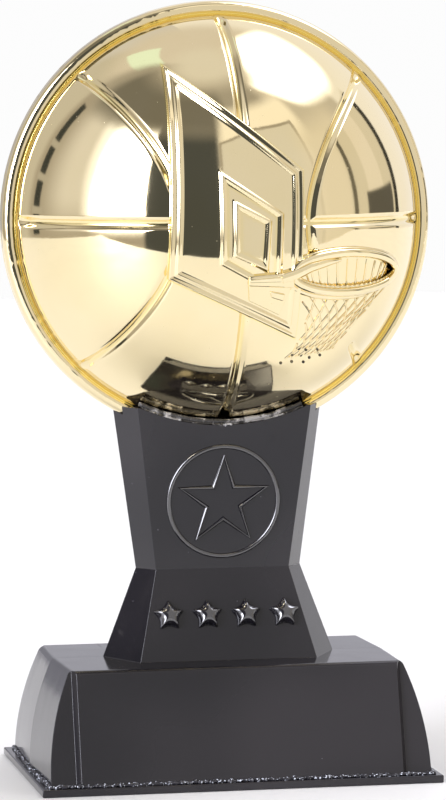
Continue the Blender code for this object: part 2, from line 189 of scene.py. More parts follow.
# %% Node helpers
class Value:
    """An output socket. Sums on it add Math nodes."""

    def __init__(self, nodes, socket):
        self.nodes, self.socket = nodes, socket

    def sum_with(self, operation, first, second):
        return self.nodes.add("ShaderNodeMath", {"operation": operation}, {0: first, 1: second})

    def __add__(self, other):
        return self.sum_with("ADD", self, other)

    def __sub__(self, other):
        return self.sum_with("SUBTRACT", self, other)

    def __mul__(self, other):
        return self.sum_with("MULTIPLY", self, other)

    __radd__ = __add__
    __rmul__ = __mul__


class Nodes:
    """A node tree being built."""

    def __init__(self, tree):
        self.tree = tree
        tree.nodes.clear()

    def add(self, kind, settings=None, inputs=None, output=0):
        node = self.tree.nodes.new(kind)
        for key, value in (settings or {}).items():
            setattr(node, key, value)
        for key, value in (inputs or {}).items():
            if isinstance(value, Value):
                self.tree.links.new(value.socket, node.inputs[key])
            else:
                node.inputs[key].default_value = value
        return Value(self, node.outputs[output])

    def finish(self, kind, surface):
        self.tree.links.new(surface.socket, self.tree.nodes.new(kind).inputs["Surface"])

    def smooth_step(self, value, low, high):
        return self.add("ShaderNodeMapRange", {"interpolation_type": "SMOOTHSTEP"},
                        {"Value": value, "From Min": low, "From Max": high})

    def blend(self, factor, first, second):
        """The first colour, turned into the second where the factor is 1."""
        return self.add("ShaderNodeMix", {"data_type": "RGBA"},
                        {0: factor, 6: self.colour(first), 7: self.colour(second)}, output=2)

    @staticmethod
    def colour(value):
        return value if isinstance(value, Value) else (*value, 1.0)


# %% [markdown]
# A mirror-bright ball is coloured by the room that it stands in, so the studio matters as much as
# the gold. It is painted on the world by direction: a soft box on the left, a window high on the
# right, a dark part of the room behind the photographer, pale walls elsewhere. The camera itself
# sees only a plain white background.

# %% Studio
BACKGROUND = (0.98, 0.98, 0.98)
BARE_ROOM = (0.62, 0.58, 0.50)       # wherever no patch lies
COOL = (0.98, 0.985, 1.10)           # the whole room is a little blue


def block(left, right, low, high):
    """The corners of an upright patch, clockwise as they are seen from the trophy."""
    return [(left, high), (right, high), (right, low), (left, low)]


# Each patch of the room has a name, its corners as (azimuth, elevation) in degrees, the width of
# its soft edge, and its colour. Azimuth is counted from the front, and grows to the left.
ROOM = [
    ("backdrop left", block(220, 120, -95, 58), 6, (0.62, 0.59, 0.50)),
    ("backdrop behind", block(220, 152, -95, 60), 12, (0.70, 0.69, 0.68)),
    ("backdrop right", block(-104, -220, -95, 60), 6, (0.98, 0.96, 0.90)),
    ("low backdrop left", block(220, 148, -10, 38), 8, (0.50, 0.49, 0.49)),
    ("low backdrop", block(-150, -220, -8, 16), 8, (0.72, 0.71, 0.70)),
    ("ceiling", block(220, -220, 52, 95), 14, (0.74, 0.69, 0.60)),
    ("ceiling top", block(220, -220, 76, 95), 12, (0.78, 0.75, 0.66)),
    ("ceiling lamp", [(157, 65), (126, 74), (106, 69), (146, 55)], 1.2, (0.88, 1.05, 0.86)),
    ("left wall", block(122, 36, -14, 52), 6, (0.44, 0.40, 0.33)),
    ("soft box glow", block(104, 36, -1, 50), 24, (0.80, 0.77, 0.70)),
    ("soft box", [(84, 45), (30, 42), (30, -2), (80, 0)], 8, (1.35, 1.34, 1.30)),
    ("heart of the soft box", block(70, 36, 0, 41), 19, (14.0, 14.0, 14.0)),
    ("window frame", block(118, 112.5, -6, 42), 0.8, (0.05, 0.055, 0.05)),
    ("sill", block(119, 110, 1, 3.5), 0.6, (0.5, 0.47, 0.4)),
    ("transom", block(119, 110, 12, 14.5), 0.6, (0.5, 0.47, 0.4)),
    ("upper transom", block(119, 110, 24, 26.5), 0.6, (0.5, 0.47, 0.4)),
    ("dark room", block(44, 2, -40, 62), 2.5, (0.08, 0.085, 0.08)),
    ("dim ceiling", block(124, -50, 48, 76), 16, (0.42, 0.39, 0.33)),
    ("ceiling over the dark room", block(110, -6, 46, 70), 14, (0.20, 0.19, 0.16)),
    ("wall round the panels", block(1, -62, -40, 60), 8, (1.1, 1.04, 0.90)),
    ("panel edge", [(2, 41), (-25, 48), (-55, 47), (-58, -40), (2, -40)], 1.0, (0.42, 0.38, 0.31)),
    ("pale panels", [(0.5, 40), (-25, 46.5), (-53, 45.5), (-56, -40), (0.5, -40)], 1.0,
     (0.78, 0.75, 0.66)),
    ("right wall", block(-52, -90, -40, 42), 18, (0.84, 0.78, 0.64)),
    ("right room", block(-76, -117, -40, 36), 3, (0.74, 0.69, 0.56)),
    ("pale cupboard", block(-90, -104, 8, 34), 1.5, (0.86, 0.80, 0.68)),
    ("dark stripe", block(-77, -80, -6, 32), 1, (0.14, 0.13, 0.10)),
    ("dark box", block(-88, -112, -2, 8), 1.5, (0.12, 0.115, 0.10)),
    ("dark post", block(-114, -118, -4, 34), 1, (0.04, 0.04, 0.035)),
    ("window", [(-55, 68), (-95, 76), (-150, 72), (-150, 46), (-118, 40), (-74, 50)], 7,
     (2.4, 2.4, 2.4)),
    ("heart of the window", [(-68, 66), (-95, 72), (-130, 67), (-122, 50), (-84, 54)], 8,
     (8.0, 8.0, 8.0)),
]

world = bpy.data.worlds.new("studio")
bpy.context.scene.world = world
world.use_nodes = True
room = Nodes(world.node_tree)
direction = room.add("ShaderNodeTexCoord", output=0)
split = room.tree.nodes.new("ShaderNodeSeparateXYZ")
room.tree.links.new(direction.socket, split.inputs[0])
side, depth, height = (Value(room, split.outputs[i]) for i in range(3))
azimuth = room.add("ShaderNodeMath", {"operation": "ARCTAN2"}, {0: side * -1.0, 1: depth * -1.0})
elevation = room.add("ShaderNodeMath", {"operation": "ARCSINE"}, {0: height})
azimuth = azimuth * math.degrees(1.0)
elevation = elevation * math.degrees(1.0)
paint = BARE_ROOM
for _, corners, edge, colour in ROOM:
    inside = None
    for (a0, e0), (a1, e1) in zip(corners, corners[1:] + corners[:1]):
        length = math.hypot(a1 - a0, e1 - e0)
        gap = azimuth * ((e0 - e1) / length) + elevation * ((a1 - a0) / length)
        offset = (a0 * (e0 - e1) + e0 * (a1 - a0)) / length
        share = room.smooth_step(gap, offset - edge / 2, offset + edge / 2)
        inside = share if inside is None else inside * share
    paint = room.blend(inside, paint, colour)
paint = room.add("ShaderNodeMix", {"data_type": "RGBA", "blend_type": "MULTIPLY"},
                 {0: 1.0, 6: paint, 7: (*COOL, 1.0)}, output=2)
seen = room.add("ShaderNodeLightPath", output=0)
paint = room.blend(seen, paint, BACKGROUND)
shine = room.add("ShaderNodeBackground", {}, {"Color": paint, "Strength": 1.0})
room.finish("ShaderNodeOutputWorld", shine)

# %% [markdown]
# The floor is a plain pale table top. Its front edge is not far in front of the trophy, which is
# why the lower half of the ball mirrors a pale table and the upper half a darker room.

# %% Floor
TABLE_FRONT, TABLE_BACK, TABLE_LEFT, TABLE_RIGHT = -340.0, 1900.0, -850.0, 1500.0
TABLE_DROP = 0.02                    # the table top lies this far below the plate
bpy.ops.mesh.primitive_grid_add(x_subdivisions=24, y_subdivisions=24, size=MM,
                                location=(0.0, 0.0, 0.0))
floor = new_piece("table_top")
edit(floor, "SELECT")
bpy.ops.transform.resize(value=(TABLE_RIGHT - TABLE_LEFT, TABLE_BACK - TABLE_FRONT, 1.0))
bpy.ops.transform.translate(value=((TABLE_LEFT + TABLE_RIGHT) / 2 * MM,
                                   (TABLE_FRONT + TABLE_BACK) / 2 * MM, -TABLE_DROP * MM))
done()

# %% [markdown]
# ## The ball
# Each half of the ball is a shallow pressed dome with a beaded flange round it. The flange is
# given by its section, a list of steps from the foot of the dome to the middle plane.

# %% Sizes of the ball
BALL_Z = 115.0
DOME_RADIUS, DOME_APEX, DOME_FOOT = 44.4, 33.5, 42.2
DOME_CENTRE = Vector((0.0, DOME_RADIUS - DOME_APEX, BALL_Z))
SPLIT = 0.02                         # each half stands this far off the middle plane
# The flange's section from the dome's foot to the middle plane: radius and depth
FLANGE = [(42.27, 2.76), (42.35, 2.64), (42.45, 2.58), (42.55, 2.6), (42.67, 2.72), (42.8, 2.86),
          (42.97, 2.96), (43.2, 3.0), (43.5, 3.0), (43.8, 2.95), (44.1, 2.84), (44.38, 2.65),
          (44.62, 2.36), (44.82, 1.96), (44.94, 1.5), (44.99, 1.0), (45.0, 0.3), (44.88, SPLIT)]
foot_depth = math.sqrt(DOME_RADIUS ** 2 - DOME_FOOT ** 2) - DOME_CENTRE.y

# %% [markdown]
# A fine round ball is cut down to the dome. Its open edge is extruded and scaled through the
# flange's section, one step at a time, and the back is closed with one face.

# %% Cut and extrude the half ball
bpy.ops.mesh.primitive_ico_sphere_add(subdivisions=7, radius=DOME_RADIUS * MM,
                                      location=DOME_CENTRE * MM)
ball = new_piece("ball_front")
edit(ball, "SELECT")
bpy.ops.mesh.bisect(plane_co=(0.0, -foot_depth * MM, 0.0), plane_no=(0.0, 1.0, 0.0),
                    clear_outer=True)
bpy.ops.mesh.select_mode(type="EDGE")
bpy.ops.mesh.select_all(action="DESELECT")
bpy.ops.mesh.select_non_manifold(use_wire=False, use_multi_face=False,
                                 use_non_contiguous=False, use_verts=False)
reach, level = DOME_FOOT, foot_depth
for radius, depth in FLANGE:
    bpy.ops.mesh.extrude_edges_move(TRANSFORM_OT_translate={
        "value": (0.0, (level - depth) * MM, 0.0)})
    bpy.ops.transform.resize(value=(radius / reach, 1.0, radius / reach),
                             center_override=(0.0, -depth * MM, BALL_Z * MM))
    reach, level = radius, depth
bpy.ops.mesh.edge_face_add()
done()

# %% [markdown]
# The drawing on the dome is set out as seen straight from the front, in millimetres from the
# ball's middle. Distances inside a four-sided outline are taken to the nearest side, which gives
# mitred corners. A ridge's section is a list of distance and height, eased from one to the next.

# %% The drawing on the dome
SEAM_DEPTH, SEAM_EDGE, SEAM_BED = 0.8, 1.45, 0.15
SIDE_SEAM_NEAR, SIDE_SEAM_FAR, SIDE_SEAM_TOP, SIDE_SEAM_POWER = 13.2, 29.5, 30.3, 1.85
BOARD = [(-14.1, 31.4), (11.6, 10.4), (11.0, -23.2), (-15.4, -10.9)]
TARGET_OUTER = [(-4.9, 9.4), (6.7, 1.7), (6.3, -13.8), (-4.9, -7.7)]
TARGET_INNER = [(-2.3, 3.8), (4.2, 0.4), (3.7, -8.8), (-2.3, -6.1)]
BOARD_SECTION = [(-0.15, 0.0), (0.3, 1.2), (1.15, 0.78), (1.8, 1.05), (2.5, 0.6)]
OUTER_SECTION = [(-0.75, 0.0), (0.0, 0.5), (0.85, 0.06)]
INNER_SECTION = [(-0.75, 0.0), (0.0, 0.5), (0.85, 0.1)]
SMOOTH_UNDER_NET = [(8.0, -7.0), (38.0, -7.0), (36.5, -14.0), (24.5, -26.5), (8.0, -31.0)]
SEAM_END, RIM_START = 40.6, 42.3     # a seam fades out between these distances from the middle
NET_FADE, BOARD_FADE = (-0.8, 0.6), (-0.45, -0.1)
STILL_DEPTH = 1.9                    # nothing is pressed nearer the middle plane than this
LINE_REACH = 1.2                     # finer faces this far beyond each line
FLANGE_MARGIN = 0.3                  # and none from this far inside the dome's foot outwards


def ease(value, low, high):
    """0 below low and 1 above high, with a soft turn at both ends."""
    share = np.clip((value - low) / (high - low), 0.0, 1.0)
    return share * share * (3.0 - 2.0 * share)


def section_height(distance, section):
    """The height at each distance, eased from one (distance, height) to the next."""
    height = np.full_like(distance, section[0][1])
    for (start, low), (end, high) in zip(section, section[1:]):
        height = height + (high - low) * ease(distance, start, end)
    return height


def inside_by(across, up, corners):
    """How far each point lies inside the corners, which go clockwise as seen."""
    nearest = np.full_like(across, np.inf)
    for (x0, y0), (x1, y1) in zip(corners, corners[1:] + corners[:1]):
        length = math.hypot(x1 - x0, y1 - y0)
        gap = ((across - x0) * (y1 - y0) - (up - y0) * (x1 - x0)) / length
        nearest = np.minimum(nearest, gap)
    return nearest


def dome_point(across, up, lift=0.0):
    """The place over the dome, in mm, that is seen from the front at (across, up)."""
    reach = DOME_RADIUS + lift
    depth = math.sqrt(reach * reach - across * across - up * up)
    return Vector((across, DOME_CENTRE.y - depth, BALL_Z + up))


def side_seam(sign, steps=60):
    """One of the two curved seams, as points in mm on the dome, a little longer than it shows."""
    path = []
    for i in range(steps + 1):
        up = (SIDE_SEAM_TOP + 0.6) * (2.0 * i / steps - 1.0)
        spread = abs(up / SIDE_SEAM_TOP) ** SIDE_SEAM_POWER
        across = SIDE_SEAM_NEAR + (SIDE_SEAM_FAR - SIDE_SEAM_NEAR) * spread
        path.append(dome_point(sign * across, up))
    return np.array(path)


def path_distance(points, path):
    """The distance from each point to the nearest stretch of a path."""
    nearest = np.full(len(points), np.inf)
    for start, end in zip(path, path[1:]):
        along = end - start
        share = np.clip((points - start) @ along / (along @ along), 0.0, 1.0)
        gap = points - start - share[:, None] * along
        nearest = np.minimum(nearest, np.sqrt((gap * gap).sum(axis=1)))
    return nearest


SIDE_SEAMS = [side_seam(-1.0), side_seam(1.0)]


def seam_distance(points):
    """The distance to the nearest of the four seams."""
    straight = np.minimum(abs(points[:, 0]), abs(points[:, 2] - BALL_Z))
    curved = np.minimum(*(path_distance(points, path) for path in SIDE_SEAMS))
    return np.minimum(straight, curved)


def points_of(mesh, what="vertices"):
    """The vertices or the face middles, in mm, one row each."""
    items = getattr(mesh, what)
    flat = np.empty(len(items) * 3)
    items.foreach_get("co" if what == "vertices" else "center", flat)
    return flat.reshape(-1, 3) / MM


def drawn(points):
    """Across and up from the ball's middle, and how far inside the board and both targets."""
    across, up = points[:, 0], points[:, 2] - BALL_Z
    outlines = (BOARD, TARGET_OUTER, TARGET_INNER)
    return across, up, *(inside_by(across, up, corners) for corners in outlines)


# %% [markdown]
# The faces near the seams and the raised picture are subdivided, and each time the new points
# are put back on the round of the dome. This is done twice.

# %% Finer faces near the lines
def near_a_line(points):
    across, up, board, outer, inner = drawn(points)
    seam = (seam_distance(points) < SEAM_EDGE + 0.5) & (board < 0.3)
    ridge = (board > -LINE_REACH) & (board < BOARD_SECTION[-1][0] + LINE_REACH / 2)
    target = (outer > -LINE_REACH) & (inner < LINE_REACH)
    flange = np.hypot(across, up) > DOME_FOOT - FLANGE_MARGIN
    return (seam | ridge | target) & ~flange


def onto_the_ball(obj):
    """Puts the new points of the dome back on its round surface."""
    points = points_of(obj.data)
    middle = np.array(DOME_CENTRE)
    reach = np.linalg.norm(points - middle, axis=1)
    across = np.hypot(points[:, 0], points[:, 2] - BALL_Z)
    dome = (across < DOME_FOOT - 0.01) & (points[:, 1] < -foot_depth)
    points[dome] = middle + (points[dome] - middle) * (DOME_RADIUS / reach[dome])[:, None]
    obj.data.vertices.foreach_set("co", (points * MM).ravel())
    obj.data.update()


for _ in range(2):
    flags = near_a_line(points_of(ball.data, "polygons"))
    edit(ball)
    bpy.ops.mesh.select_mode(type="FACE")
    bpy.ops.mesh.select_all(action="DESELECT")
    done()
    ball.data.polygons.foreach_set("select", flags)
    edit(ball)
    bpy.ops.mesh.subdivide(number_cuts=1, ngon=False)
    done()
    onto_the_ball(ball)

# %% [markdown]
# The relief is pressed in by moving each point along the dome's own radius, which keeps the foot
# of every ridge as soft as the real moulding's. The seams stop at the backboard and the net.

# %% Press the seams, the backboard and the target into the dome
points = points_of(ball.data)
middle = np.array(DOME_CENTRE)
across, up, board, outer, inner = drawn(points)
rim = np.hypot(across, up)
seam_gap = seam_distance(points)
seam = (-SEAM_DEPTH * (1.0 - ease(seam_gap, SEAM_BED, SEAM_EDGE))
        * (1.0 - ease(rim, SEAM_END, RIM_START)))
drawing = (section_height(board, BOARD_SECTION) + section_height(outer, OUTER_SECTION)
           + section_height(inner, INNER_SECTION))
on_board = ease(board, *BOARD_FADE)
seam *= 1.0 - ease(inside_by(across, up, SMOOTH_UNDER_NET), *NET_FADE)
lift = seam * (1.0 - on_board) + drawing * on_board
lift[points[:, 1] > -STILL_DEPTH] = 0.0
away = points - middle
away /= np.linalg.norm(away, axis=1)[:, None]
points = points + away * lift[:, None]
ball.data.vertices.foreach_set("co", (points * MM).ravel())
ball.data.update()

# %% [markdown]
# The gold is a film of metal under a tinted lacquer. A deeper yellow is painted into every inside
# corner as shade. The ball keeps how strong this painted shade is at each point as an attribute.

# %% Where shade is painted into the inside corners
def line_of(distance, middle, width):
    """A soft line, 1 where the distance is at the middle and fading over the width."""
    return np.exp(-((distance - middle) / width) ** 2)


GUTTER = 42.48                       # between the dome and its flange
# Painted shade: a deeper yellow in the seams, at the board's foot, in the target's valleys and in
# the gutter
groove = (1.0 - ease(seam_gap, 0.0, 0.75)) * (seam < -0.3) * (1.0 - on_board) * 0.45
groove = groove * (1.0 - ease(rim, 40.0, 41.8))
foot = line_of(board, -0.2, 0.2) * 0.7
valleys = line_of(outer, 0.95, 0.3) * 0.3 + line_of(inner, 0.95, 0.3) * 0.2
gutter = line_of(rim, GUTTER, 0.26) * (points[:, 1] > -foot_depth - 0.3)
corner_shade_share = np.clip(np.maximum.reduce([groove, foot, valleys, gutter]), 0.0, 1.0)
layer = ball.data.attributes.new("painted_corner_shade", "FLOAT", "POINT")
layer.data.foreach_set("value", corner_shade_share)
soften(ball, 70.0)

# %% [markdown]
# ## The black body
# The riser and the base are one black moulding, made as a front and a rear half. Each solid is
# raised from a filled outline that is extruded from level to level. The ends of the base bow
# outwards, and all the other sides are flat.

# %% Sizes of the body
BASE_FOOT_Z, BASE_TOP_Z = 1.9, 24.4
BASE_TOP_WIDTH, BASE_FOOT_WIDTH = 35.2, 40.0      # half widths
BASE_TOP_FRONT, BASE_FOOT_FRONT = 20.6, 26.8
BASE_DRAFT, BASE_EDGE = 0.6, 0.9
PANEL_WIDTH, PANEL_STEP, STEP_WALL = 33.6, 1.3, 0.6
# The riser's levels: height, then half width at the back, half width of the panel, and front
RISER = [(24.4, 24.4, 18.5, 11.6), (42.75, 17.4, 14.0, 5.0), (76.6, 22.0, 18.15, 8.2)]
CRADLE_RADIUS, SLOT_HALF, SLOT_RADIUS = 42.25, 2.95, 44.9
EDGE_ROUND, SPLIT_SHARE, FOOT_SHARE = 0.5, 0.35, 0.2      # the round, and shares of it
RISER_START = 22.6                   # the riser reaches down into the base


def base_front(z):
    """How far the sloping front stands out at a height."""
    share = (z - BASE_FOOT_Z) / (BASE_TOP_Z - BASE_FOOT_Z)
    return BASE_FOOT_FRONT + (BASE_TOP_FRONT - BASE_FOOT_FRONT) * share


def base_width(z):
    """The ends bow outwards: an arc, upright at the foot."""
    rise, drop = BASE_TOP_Z - BASE_FOOT_Z, BASE_FOOT_WIDTH - BASE_TOP_WIDTH
    radius = (rise * rise + drop * drop) / (2.0 * drop)
    return BASE_FOOT_WIDTH - radius + math.sqrt(radius * radius - (z - BASE_FOOT_Z) ** 2)


def raised(name, levels):
    """A solid raised through level outlines, each a list of points in mm."""
    bpy.ops.mesh.primitive_circle_add(vertices=len(levels[0]), radius=MM, fill_type="NGON")
    obj = new_piece(name)
    edit(obj, "SELECT")
    last = None
    for outline in levels:
        if last:
            bpy.ops.mesh.extrude_region_move()
        bm = bmesh.from_edit_mesh(obj.data)
        for i, vert in enumerate([v for v in bm.verts if v.select]):
            if last:                 # the corner of the last outline that the point stands on
                i = min(range(len(last)), key=lambda j: (vert.co / MM - Vector(last[j])).length)
            vert.co = Vector(outline[i]) * MM
        bmesh.update_edit_mesh(obj.data)
        last = outline
    done()
    outward(obj)
    return obj


def base_level(z, inset=0.0):
    width, front = base_width(z) - inset, base_front(z) - inset
    return [(-width, -SPLIT, z), (BASE_DRAFT - width, -front, z),
            (width - BASE_DRAFT, -front, z), (width, -SPLIT, z)]


def riser_level(level):
    z, ridge, panel, front = level
    return [(-ridge, -SPLIT, z), (-panel, -front, z), (panel, -front, z), (ridge, -SPLIT, z)]


def riser_part(z):
    """The two levels of the riser that a height lies between."""
    return RISER[:2] if z < RISER[1][0] else RISER[1:]


def riser_at(z):
    """The riser's level at any height."""
    low, high = riser_part(z)
    share = (z - low[0]) / (high[0] - low[0])
    return tuple(a + (b - a) * share for a, b in zip(low, high))


# %% [markdown]
# The base takes 16 steps to follow the bow of its ends, and five to turn over its top edge. The
# riser needs its three levels, and one below them inside the base.

# %% Raise the base and the riser
SIDE_STEPS, EDGE_STEPS = 16, 5
levels = [base_level(BASE_FOOT_Z + (BASE_TOP_Z - BASE_EDGE - BASE_FOOT_Z) * i / SIDE_STEPS)
          for i in range(SIDE_STEPS + 1)]
for i in range(1, EDGE_STEPS + 1):
    turned = math.radians(90.0 / EDGE_STEPS * i)
    levels.append(base_level(BASE_TOP_Z - BASE_EDGE * (1.0 - math.sin(turned)),
                             BASE_EDGE * (1.0 - math.cos(turned))))
base = raised("body_front", levels)
riser = raised("riser", [riser_level(level) for level in [riser_at(RISER_START)] + RISER])


def cut(obj, tool, operation="DIFFERENCE"):
    modify(obj, "BOOLEAN", operation=operation, solver="EXACT", object=tool)
    bpy.data.objects.remove(tool)


# %% [markdown]
# The plaque area on the front of the base stands proud, because a step is cut away at each end
# of it. The cutting solids reach past the base on every open side.

# %% Step off the two sides of the plaque area
PAST = 1.0
for sign in (-1.0, 1.0):
    corners = []
    for z in (BASE_FOOT_Z - PAST, BASE_TOP_Z + PAST):
        back, front = PANEL_STEP - base_front(z), -base_front(z) - PAST
        wall, slant, end = PANEL_WIDTH + STEP_WALL, PANEL_WIDTH - PAST, BASE_FOOT_WIDTH + 5.0
        corners.append([(sign * wall, back, z), (sign * end, back, z),
                        (sign * end, front, z), (sign * slant, front, z)])
    cut(base, raised("side_step", corners))

# %% [markdown]
# The riser is joined on, and two cylinders are cut away: the cradle that the dome lies in, and
# the narrow slot for the flange.

# %% Join the riser, and cut the cradle and the slot for the ball
cut(base, riser, "UNION")
for radius, depth in ((CRADLE_RADIUS, 40.0), (SLOT_RADIUS, 2.0 * SLOT_HALF)):
    bpy.ops.mesh.primitive_cylinder_add(vertices=256, radius=radius * MM, depth=depth * MM,
                                        location=(0.0, 0.0, BALL_Z * MM),
                                        rotation=(math.radians(90.0), 0.0, 0.0))
    cut(base, new_piece("cradle"))
outward(base)

# %% [markdown]
# Flat faces are cleared of spare edges. Then a Bevel modifier rounds the sharp edges, which is
# what catches the light. The weight of an edge is its share of the round: less where the halves
# meet, and at the foot.

# %% Round the edges
edit(base)
bpy.ops.mesh.select_mode(type="EDGE")
bpy.ops.mesh.select_all(action="DESELECT")
bm = bmesh.from_edit_mesh(base.data)
bmesh.ops.dissolve_limit(bm, angle_limit=math.radians(0.5), verts=bm.verts, edges=bm.edges,
                         delimit={"NORMAL"})
weights = bm.edges.layers.float.get("bevel_weight_edge") or bm.edges.layers.float.new(
    "bevel_weight_edge")
for edge in bm.edges:
    if edge.is_manifold and edge.calc_face_angle() > math.radians(20.0):
        on_split = all(abs(v.co.y) < 2 * SPLIT * MM for v in edge.verts)
        at_foot = all(v.co.z < (BASE_FOOT_Z + 0.1) * MM for v in edge.verts)
        edge[weights] = SPLIT_SHARE if on_split else FOOT_SHARE if at_foot else 1.0
bmesh.update_edit_mesh(base.data)
done()
modify(base, "BEVEL", limit_method="WEIGHT", width=EDGE_ROUND * MM, segments=3)
soften(base, 40.0)
modify(base, "WEIGHTED_NORMAL", keep_sharp=True, weight=100)

# %% [markdown]
# ## What stands on the ball
# The bracket, the ring and the net stand highest. They are modelled flat, in front of the middle
# plane, and then wrapped: each point goes to the place over the dome that it is seen against, and
# its distance in front of the plane becomes its height over the dome. They sink a little way in,
# so that no gap shows under them.

# %% Wrapping on the dome
def wrap(obj):
    for vert in obj.data.vertices:
        across, front, up = vert.co / MM
        vert.co = dome_point(across, up - BALL_Z, -front) * MM
    obj.data.update()
    outward(obj)


def slab(name, corners, low, high, edge):
    """A flat plate with four corners, from one height over the dome to another, edges rounded."""
    bpy.ops.mesh.primitive_cube_add(size=MM)
    obj = new_piece(name)
    upper, lower = corners[:2], corners[:1:-1]
    for vert in obj.data.vertices:
        across, rise = (upper if vert.co.z > 0 else lower)[vert.co.x > 0]
        vert.co = Vector((across, -high if vert.co.y < 0 else -low, BALL_Z + rise)) * MM
    modify(obj, "BEVEL", limit_method="NONE", width=edge * MM, segments=3)
    edit(obj, "SELECT")
    bpy.ops.mesh.subdivide(number_cuts=2)
    done()
    wrap(obj)
    soften(obj, 40.0)
    return obj


def angles(start, end, steps):
    """Even steps from one angle to another, given in degrees and returned in radians."""
    return [math.radians(start + (end - start) * i / steps) for i in range(steps + 1)]


def arc_points(centre, radii, turns, lift):
    """Points on an ellipse in front of the middle plane, one for each angle."""
    return [(centre[0] + radii[0] * math.cos(turn), -lift,
             BALL_Z + centre[1] + radii[1] * math.sin(turn)) for turn in turns]


# %% [markdown]
# The bracket is an arm with a ledge along it, a plate under it, and a knob. Each slab has its
# four corners, its lowest and highest lift over the dome, and the round of its edges.

# %% Bracket
bracket = joined([
    slab("arm", [(0.1, -10.5), (9.6, -9.8), (9.8, -13.0), (0.1, -12.5)], 0.1, 1.75, 0.4),
    slab("arm_ledge", [(0.3, -11.1), (9.4, -10.5), (9.5, -11.7), (0.3, -11.8)], 0.5, 2.0, 0.2),
    slab("plate_under", [(0.2, -12.2), (9.2, -12.6), (6.9, -18.5), (0.5, -15.5)], 0.1, 1.3, 0.14),
    slab("knob", [(4.6, -13.5), (7.9, -14.2), (7.6, -15.7), (5.0, -14.9)], 0.4, 1.65, 0.3),
], "bracket_front")

# %% [markdown]
# The ring is a round bar bent to a flat ellipse, with a lip under its front and a thin ridge
# behind it. A shoulder joins it to the bracket. The rope on its inner edge, where the net is
# hooked on, is a thin bar that swells and shrinks.

# %% Ring
HOOP_CENTRE, HOOP_RADII = (21.9, -10.3), (12.35, 4.05)
ring = bar("ring", arc_points(HOOP_CENTRE, HOOP_RADII, angles(0, 360, 96)[:-1], 0.7), 0.95, True)
lip = bar("lip", arc_points((HOOP_CENTRE[0] - 1.4, HOOP_CENTRE[1] - 1.1), (11.6, 3.85),
                            angles(184, 300, 60), 0.4), 0.62)
ridge = bar("ridge", arc_points((HOOP_CENTRE[0], HOOP_CENTRE[1] + 0.6), (12.7, 4.2),
                                angles(12, 150, 60), 0.2), 0.5)
shoulder_path = [(across, -lift, BALL_Z - drop) for across, lift, drop in (
    (7.0, 1.0, 11.2), (10.2, 0.95, 10.2), (13.2, 0.85, 8.9), (16.6, 0.75, 8.1), (20.2, 0.5, 7.6))]
shoulder = bar("shoulder", shoulder_path, 1.0, radii=[1.2, 1.2, 1.1, 0.9, 0.3])
rope_points = arc_points(HOOP_CENTRE, (11.55, 2.95), angles(182, 356, 110), 0.5)
ROPE_PERIOD = 7.5                    # points from one swelling to the next but one
swell = [0.75 + 0.45 * math.cos(2.0 * math.pi * i / ROPE_PERIOD) ** 2
         for i in range(len(rope_points))]
rope = bar("rope", rope_points, 0.38, radii=swell)
for piece in (ring, lip, ridge, shoulder, rope):
    wrap(piece)
    soften(piece, 60.0)
hoop = joined([ring, lip, ridge, shoulder, rope], "hoop_front")

# %% [markdown]
# The net hangs from the ring as crossing cords that narrow towards the bottom. Each cord is a thin
# bar along a path between the top and the bottom edge, and every other cord leans the other way,
# which gives the diamonds. Short cords inside the ring are the far side of the net.

# %% Net
NET_LEFT = [(11.0, -13.6), (12.9, -17.8), (13.3, -21.5), (11.8, -25.2), (9.2, -28.4)]
NET_RIGHT = [(34.0, -11.6), (30.6, -15.6), (26.5, -19.5), (23.2, -23.4), (20.5, -26.9)]
NET_SAG, NET_CORD, NET_SINK = 2.0, 0.21, 0.03
MESHES, SLANT, CORD_STEPS, CORD_LENGTH = 8, 0.42, 20, 0.96
# The cords inside the ring: how many, their angles, and where each one runs
INNER_CORDS, INNER_START, INNER_STEP = 11, 28.0, 12.4
INNER_REACH, INNER_RISE, INNER_FALL, INNER_LEAN, INNER_STEPS = 11.3, 2.7, 2.8, 0.12, 6
SPOT_RADIUS = 0.31
# Where dark spots are painted on the net as the reflection of the black base
DARK_REFLECTION_SPOTS = [(9.0, -28.7), (11.2, -27.0), (11.4, -28.5), (12.5, -25.8), (13.2, -27.2),
              (14.1, -28.7), (14.2, -26.1), (15.3, -27.8), (16.8, -26.1), (17.7, -27.4)]


def along(corners, share):
    """A point part of the way along a bent line."""
    place = min(max(share, 0.0), 1.0) * (len(corners) - 1)
    i = min(int(place), len(corners) - 2)
    a, b = corners[i], corners[i + 1]
    return tuple(p + (q - p) * (place - i) for p, q in zip(a, b))


def net_point(u, v):
    """A point of the net, u across and v down, between its two curved sides."""
    left, right = along(NET_LEFT, v), along(NET_RIGHT, v)
    sag = NET_SAG * math.sin(math.pi * u) * (1.0 - v)
    return (left[0] + (right[0] - left[0]) * u, NET_SINK,
            BALL_Z + left[1] + (right[1] - left[1]) * u - sag)


cords = []
for i in range(-3, MESHES + 4):
    for lean in (-SLANT, SLANT):
        start = (i + 0.5) / MESHES
        shares = [j / CORD_STEPS for j in range(CORD_STEPS + 1)
                  if 0.0 <= start + lean * j / CORD_STEPS <= 1.0]
        if len(shares) > 3:
            path = [net_point(start + lean * v, v * CORD_LENGTH) for v in shares]
            cords.append(bar("cord", path, NET_CORD, smoothness=1))
for i in range(INNER_CORDS):
    angle = math.radians(INNER_START + INNER_STEP * i)
    x = HOOP_CENTRE[0] + INNER_REACH * math.cos(angle)
    top = HOOP_CENTRE[1] + INNER_RISE * math.sin(angle)
    low = HOOP_CENTRE[1] - INNER_FALL * math.sin(angle)
    path = [(x + (HOOP_CENTRE[0] - x) * INNER_LEAN * j / INNER_STEPS, NET_SINK,
             BALL_Z + top + (low - top) * j / INNER_STEPS) for j in range(INNER_STEPS + 1)]
    cords.append(bar("cord", path, NET_CORD, smoothness=1))
net = joined(cords, "net_front")
wrap(net)
soften(net, 60.0)
